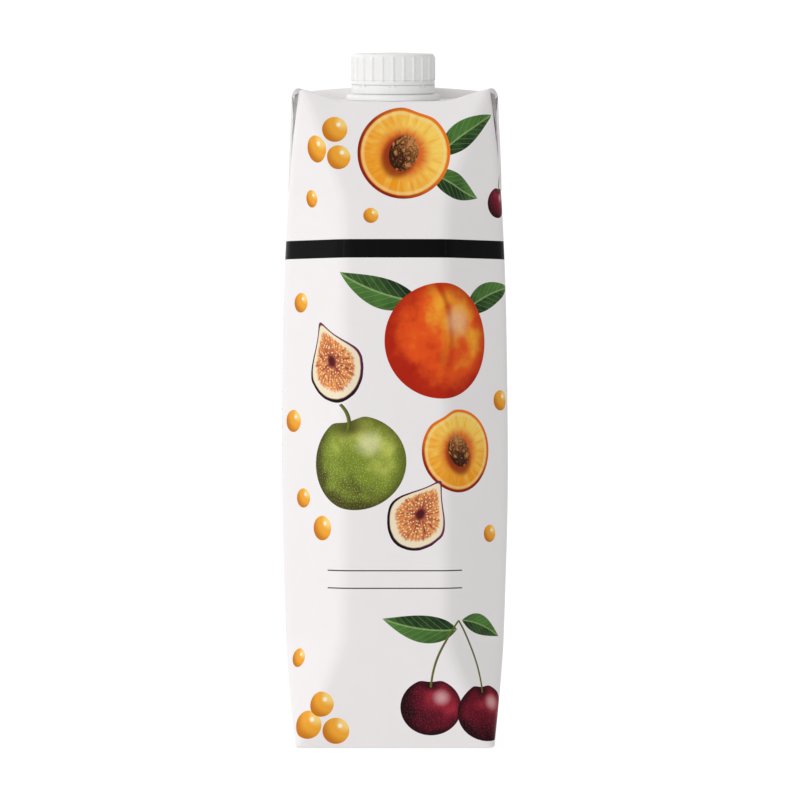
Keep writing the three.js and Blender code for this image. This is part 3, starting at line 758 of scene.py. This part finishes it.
def stone_half(sheet, x, y, radius, turn):
    """A halved stone fruit: thin red skin, golden flesh whose fibres redden round the middle, and an
    oval, wrinkled brown stone with its shadow."""
    make = sheet.make
    deep, pale, reddened, rim = (rgb(tone) for tone in STONE_FRUIT_FLESH)
    dark_skin, light_skin = (rgb(tone) for tone in STONE_FRUIT_SKIN)
    shadow, dark_stone, light_stone = (rgb(tone) for tone in STONE)
    place, px, py, r = rounded_places(sheet, x, y, radius, turn, 1.0, 0.06)
    fibre = fibres(sheet, place, r, 5.0, 1.7)
    flesh = make.colour(deep, pale, (fibre * 0.9 + py * 0.25 + px * 0.2).step(0.1, 0.85))
    flesh = make.colour(flesh, reddened, (r - fibre * 0.3).step(0.2, 0.48, 0.85, 0.0))
    flesh = make.colour(flesh, rim, abs(r - 0.88).step(0.01, 0.05, 0.5, 0.0))
    skin = make.colour(dark_skin, light_skin, (px * 0.6 + py * 0.6 + sheet.blotch).step(-0.2, 1.2))
    colour = make.colour(flesh, skin, r.step(0.91, 0.945))
    stone_place = place.vector_math("MULTIPLY", (3.1, 2.4, 1.0))
    stone = stone_place.distance()
    colour = make.colour(colour, shadow, stone_place.distance(-0.22, -0.26).step(0.9, 1.35, 0.75, 0.0))
    furrow = abs(make.noise(stone_place, 2.6, 3, 0.6, "2D") - 0.5)
    wrinkle = (px + py) * 0.8 + furrow * 5.0 + sheet.grain * 0.3
    pit = make.colour(dark_stone, light_stone, wrinkle.step(0.1, 1.15))
    colour = make.colour(colour, pit, stone.step(0.93, 1.0, 1.0, 0.0))
    sheet.lay_inside(colour, r, radius)


def fig_half(sheet, x, y, radius, turn):
    """A halved fig: a ball that narrows to a neck, dark purple skin, a cream ring, and rosy flesh of
    fibres and pale pips round a dark hollow."""
    make = sheet.make
    deep, pale, hollow, pip = (rgb(tone) for tone in FIG_FLESH)
    cream, dark_skin, light_skin = (rgb(tone) for tone in FIG_SKIN)
    px, py = sheet.at(x, y, radius, turn)
    place = make.vector(px / py.step(-0.2, 1.4, 1.0, 0.25), py * 0.8 - 0.08)
    r = place.distance() + (sheet.blotch - 0.5) * 0.06
    fibre = fibres(sheet, place, r, 6.0, 1.8)
    flesh = make.colour(deep, pale, (fibre + r * 0.35).step(0.38, 0.86))
    pips = sheet.seeds.step(0.16, 0.27, 0.95, 0.0) * between(r, 0.22, 0.68, 0.06)
    flesh = make.colour(flesh, pip, pips)
    flesh = make.colour(flesh, hollow, (r - fibre * 0.16).step(0.0, 0.12, 0.9, 0.0))
    ring = (r + (fibre - 0.5) * 0.2).step(0.68, 0.78)
    colour = make.colour(flesh, cream, ring)
    skin = make.colour(dark_skin, light_skin, (px * 0.5 + py * 0.6 + sheet.grain * 0.5).step(-0.4, 1.1))
    sheet.lay_inside(make.colour(colour, skin, r.step(0.89, 0.93)), r, radius)


def leaf(sheet, x, y, radius, turn, bend=0.12):
    """A smooth leaf on a bent midrib: its half width is a parabola that is fuller near the stalk. Side
    veins slant towards the tip."""
    make = sheet.make
    dark, light, vein = (rgb(tone) for tone in LEAF)
    px, py = sheet.at(x, y, radius, turn)
    reach = (1.0 - px * px).math("MAXIMUM", 0.0)
    side = abs(py - reach * bend)
    half = reach * (1.0 - px * 0.3) * LEAF_WIDTH
    veins = abs(((px - side * 1.5) * 4.5).math("FRACT") - 0.5).step(0.0, 0.08, 0.45, 0.0)
    veins = veins + side.step(0.008, 0.03, 0.8, 0.0)
    tone = sheet.blotch * 0.8 + sheet.grain * 0.2 + px * 0.2 + (py - reach * bend).step(-0.02, 0.02) * 0.35
    colour = make.colour(dark, light, tone.step(0.2, 1.2))
    sheet.lay(make.colour(colour, vein, veins), (half - side).step(0.0, PRINTED_EDGE / radius))


def stalk(sheet, start, end, bend, width):
    """A thin stalk on a parabola from start to end. bend is its rise as a share of its length."""
    brown, green = (rgb(tone) for tone in STALK)
    along, up = end[0] - start[0], end[1] - start[1]
    span = float(np.hypot(along, up))
    px, py = sheet.at(*start, span, float(np.degrees(np.arctan2(up, along))))
    offset = py - px * (1.0 - px) * (4 * bend)
    colour = sheet.make.colour(brown, green, offset.step(-width / span, width / span))
    edge = PRINTED_EDGE / span
    mask = abs(offset).step(width / 2 / span - edge, width / 2 / span, 1.0, 0.0) * between(px, 0.0, 1.0, edge)
    sheet.lay(colour, mask)


def golden_berries(sheet, spots):
    """Small clear berries: a deeper rim low on the left, a glow low on the right and a round highlight."""
    dark, body, light, shine = (rgb(tone) for tone in GOLDEN)
    for x, y, radius in spots:
        place = sheet.make.vector(*sheet.at(x, y, radius))
        r = place.distance()
        shaded = place.distance(0.7, 0.6)
        colour = sheet.make.colour(light, body, shaded.step(0.2, 0.9))
        colour = sheet.make.colour(colour, dark, (shaded - sheet.grain * 0.2).step(0.9, 1.7))
        colour = sheet.make.colour(colour, shine, place.distance(0.3, 0.38).step(0.08, 0.24, 0.9, 0.0))
        sheet.lay_inside(colour, r, radius)


def cherry_pair(sheet, left, right, radius, top):
    """Two cherries on stalks that meet at the top."""
    for (x, y), bend in ((left, 0.1), (right, -0.1)):
        whole_fruit(sheet, x, y, radius, CHERRY, squash=0.94, dent=0.11, speckle=0.25)
        stalk(sheet, (x, y + radius * 0.66), top, bend, 0.9)


def upper_figures(sheet):
    leaf(sheet, 25, 206, 13, 34)
    leaf(sheet, 22, 190, 12, -24, bend=-0.12)
    golden_berries(sheet, [(-20, 208, 4.3), (-27.5, 201.5, 4.6), (-18.8, 198.6, 4.1)])
    golden_berries(sheet, [(-33, 185, 3.0), (-8, 179, 2.6)])
    cherry_pair(sheet, (44, 184), (55, 186), 5.6, (53, 205))


def middle_figures(sheet):
    leaf(sheet, -5, 155, 15, 160)
    leaf(sheet, 38, 151, 13, 20)
    whole_fruit(sheet, 16, 137, 19.5, PEACH, cleft=True)
    golden_berries(sheet, [(-38, 150, 3.4), (-41, 110, 3.8), (-36, 84, 3.3), (-27, 74, 4.2)])
    golden_berries(sheet, [(43, 117, 3.5), (38, 72, 3.0)])
    whole_fruit(sheet, -13, 96, 17.0, GREEN_FRUIT, turn=12, squash=0.93, dent=0.12, speckle=0.5)
    stalk(sheet, (-15.6, 106.8), (-18.6, 115.6), -0.16, 1.5)


def lower_figures(sheet):
    leaf(sheet, 9, 42, 13.5, 172)
    leaf(sheet, 34, 40, 10, -18)
    cherry_pair(sheet, (12, 14), (31, 12), 10.2, (23, 43))
    golden_berries(sheet, [(-29, 8, 4.8), (-19.5, 6, 4.5), (-24.5, 15, 4.3), (-38, 30, 3.2)])


def halved_figures(sheet):
    """The figures that show fibres lie over all the others."""
    stone_half(sheet, 3, 200, 15.5, -20)
    stone_half(sheet, 23, 100, 14.0, 30)
    fig_half(sheet, -22, 129, 11.5, 24)
    fig_half(sheet, 8, 78, 10.5, -32)


# The finishes. Their depths are in metres and the scales of their noises are per metre.

BOARD_IOR, BOARD_SHINE, BOARD_RELIEF = 1.5, 0.08, 0.00025
PRINTED_WAVES, PLAIN_WAVES, PLAIN_TONES, BOARD_GRAIN = 95, 120, 60, 1100
PLASTIC_IOR, PLASTIC_RELIEF, PLASTIC_DEPTH = 1.49, 0.0002, 0.002
CLOUDS, SCUFFS, MOULD_WAVES, MOULD_GRAIN = 220, 420, 300, 2500
SPOUT_WHITE, CAP_WHITE, CLOUDED, SCUFFED = "f6f6f5", "f7f7f6", "efefed", "e4e4e2"


def printed_board():
    """White coated board with the print laid on it, a faint unevenness and a soft gloss."""
    make = Maker("carton_print")
    sheet = Sheet(make)
    band_and_rules(sheet)
    side_table(sheet)
    upper_figures(sheet)
    middle_figures(sheet)
    lower_figures(sheet)
    halved_figures(sheet)
    base = make.colour(sheet.colour, sheet.paper, sheet.height.step(PRINT_TOP, PRINT_TOP + 0.3))
    place = make.object_place()
    relief = make.noise(place, PRINTED_WAVES, 2) * 3 + make.noise(place, BOARD_GRAIN, 2) * 0.25
    bump = make.relief(relief, 0.25, BOARD_RELIEF)
    gloss = sheet.grain.step(0, 1, 0.3, 0.4)
    constants = {"IOR": BOARD_IOR, "Specular IOR Level": BOARD_SHINE}
    return make.finish(constants, {"Base Color": base, "Roughness": gloss, "Normal": bump})


def white_board(name, sealed=False):
    """Unprinted coated board. The sealed edge shows the board's raw core."""
    make = Maker(name)
    place = make.object_place()
    tone = make.noise(place, PLAIN_TONES, 3)
    base = make.colour(rgb(PAPER), rgb(BOARD_SHADE), tone)
    relief = make.noise(place, PLAIN_WAVES, 2) + make.noise(place, BOARD_GRAIN, 2) * 0.2
    if sealed:
        depth = place.dot(0, 1 / MM)
        base = make.colour(base, rgb(RAW_EDGE), depth.step(FIN_WIDTH - 0.06, FIN_WIDTH - 0.02))
    bump = make.relief(relief, 0.4, BOARD_RELIEF)
    gloss = tone.step(0, 1, 0.38, 0.46)
    return make.finish({"IOR": BOARD_IOR}, {"Base Color": base, "Roughness": gloss, "Normal": bump})


def white_plastic(name, code):
    """Moulded plastic: a faint cloudiness, a grained skin, and fine scuffs round it that shine less."""
    make = Maker(name)
    place = make.object_place()
    cloud = make.noise(place, CLOUDS, 3)
    scuffs = make.noise(place.vector_math("MULTIPLY", (1.0, 1.0, 8.0)), SCUFFS, 3).step(0.56, 0.72)
    base = make.colour(rgb(code), rgb(CLOUDED), cloud * 0.5)
    base = make.colour(base, rgb(SCUFFED), scuffs * 0.25)
    gloss = cloud.step(0, 1, 0.3, 0.38) + scuffs * 0.14
    grain = make.noise(place, MOULD_GRAIN, 2) + make.noise(place, MOULD_WAVES, 2) * 1.5
    bump = make.relief(grain, 0.14, PLASTIC_RELIEF)
    constants = {"IOR": PLASTIC_IOR, "Subsurface Weight": 0.08, "Subsurface Scale": PLASTIC_DEPTH}
    return make.finish(constants, {"Base Color": base, "Roughness": gloss, "Normal": bump})


# The light: a wide soft sun, a surround that is dimmer to the right and in front, and a white floor.
# Rays from the camera see the surround and the floor as plain white.
SUN_STRENGTH, SUN_SOFTNESS, SUN_TILT = 0.49, 60, (70, 0, -35)
SURROUND_LEFT, SURROUND_RIGHT, SURROUND_FRONT = 1.12, 0.45, 0.68
SURROUND_SEEN = 1.05
FLOOR_TONE, FLOOR_GLOW_SEEN, FLOOR_GLOW_CAST, FLOOR_GAP, FLOOR_SIZE = 0.35, 0.8, 0.58, 0.05, 6


def seen_or_cast(make, seen, cast):
    """One strength for rays from the camera and another for the light that is cast."""
    camera_ray = make.node("ShaderNodeLightPath")
    return camera_ray * seen + (1 - camera_ray) * cast


def soft_sun():
    """A sun at the front left, twenty degrees above the level, so wide that its shadows are soft."""
    light = bpy.data.lights.new("soft_light", "SUN")
    light.energy, light.angle = SUN_STRENGTH, np.radians(SUN_SOFTNESS)
    lamp = bpy.data.objects.new("soft_light", light)
    lamp.rotation_euler = np.radians(SUN_TILT)
    bpy.context.collection.objects.link(lamp)


def white_floor():
    """A plane just under the pack, its size in metres. It glows, so that it shows as plain white."""
    bpy.ops.mesh.primitive_plane_add(size=FLOOR_SIZE, location=(0, 0, -FLOOR_GAP * MM))
    floor = bpy.context.object
    floor.name = "floor"
    make = Maker("floor_white")
    tones = [(tone, tone, tone, 1) for tone in (FLOOR_TONE, FLOOR_TONE * 0.97)]
    shade = make.colour(*tones, make.noise(make.object_place(), 3))
    strength = seen_or_cast(make, FLOOR_GLOW_SEEN, FLOOR_GLOW_CAST)
    glow = make.node("ShaderNodeEmission", None, {"Strength": strength})
    matt = make.node("ShaderNodeBsdfDiffuse", None, {"Color": shade})
    floor.data.materials.append(make.finish_with(make.node("ShaderNodeAddShader", None, {0: glow, 1: matt})))


def surround():
    """Light from all round, with less of it from the right and from the front."""
    make = Maker("surround", bpy.data.worlds, "ShaderNodeOutputWorld")
    direction = make.node("ShaderNodeTexCoord")
    rightward = make.node("ShaderNodeSeparateXYZ", None, {0: direction})
    backward = make.node("ShaderNodeSeparateXYZ", None, {0: direction}, output=1)
    sideways = rightward.step(-0.8, 0.8, SURROUND_LEFT, SURROUND_RIGHT)
    cast = sideways * backward.step(-1.0, -0.5, SURROUND_FRONT, 1.0)
    strength = seen_or_cast(make, SURROUND_SEEN, cast)
    white = {"Color": (1, 1, 1, 1), "Strength": strength}
    bpy.context.scene.world = make.finish_with(make.node("ShaderNodeBackground", None, white))
    bpy.context.scene.view_settings.view_transform = "Standard"


def camera():
    """A long lens, level and looking back along the pack's depth. Its clip end is in metres."""
    data = bpy.data.cameras.new("camera")
    data.lens, data.sensor_width = LENS, FILM_WIDTH
    data.clip_end = VIEW_END
    cam = bpy.data.objects.new("camera", data)
    cam.location = [c * MM for c in CAMERA]
    cam.rotation_euler = (np.pi / 2, 0, 0)
    bpy.context.collection.objects.link(cam)
    bpy.context.scene.camera = cam


camera()
soft_sun()
white_floor()
surround()
board_print = printed_board()
sealed_board = white_board("sealed_board", sealed=True)
carton_shell(board_print)
top_fin(sealed_board)
ears(white_board("plain_board"))
ear_seals(sealed_board)
back_seam(board_print)
spout(white_plastic("spout_white", SPOUT_WHITE))
cap_white = white_plastic("cap_white", CAP_WHITE)
tamper_band(cap_white)
cap(cap_white)
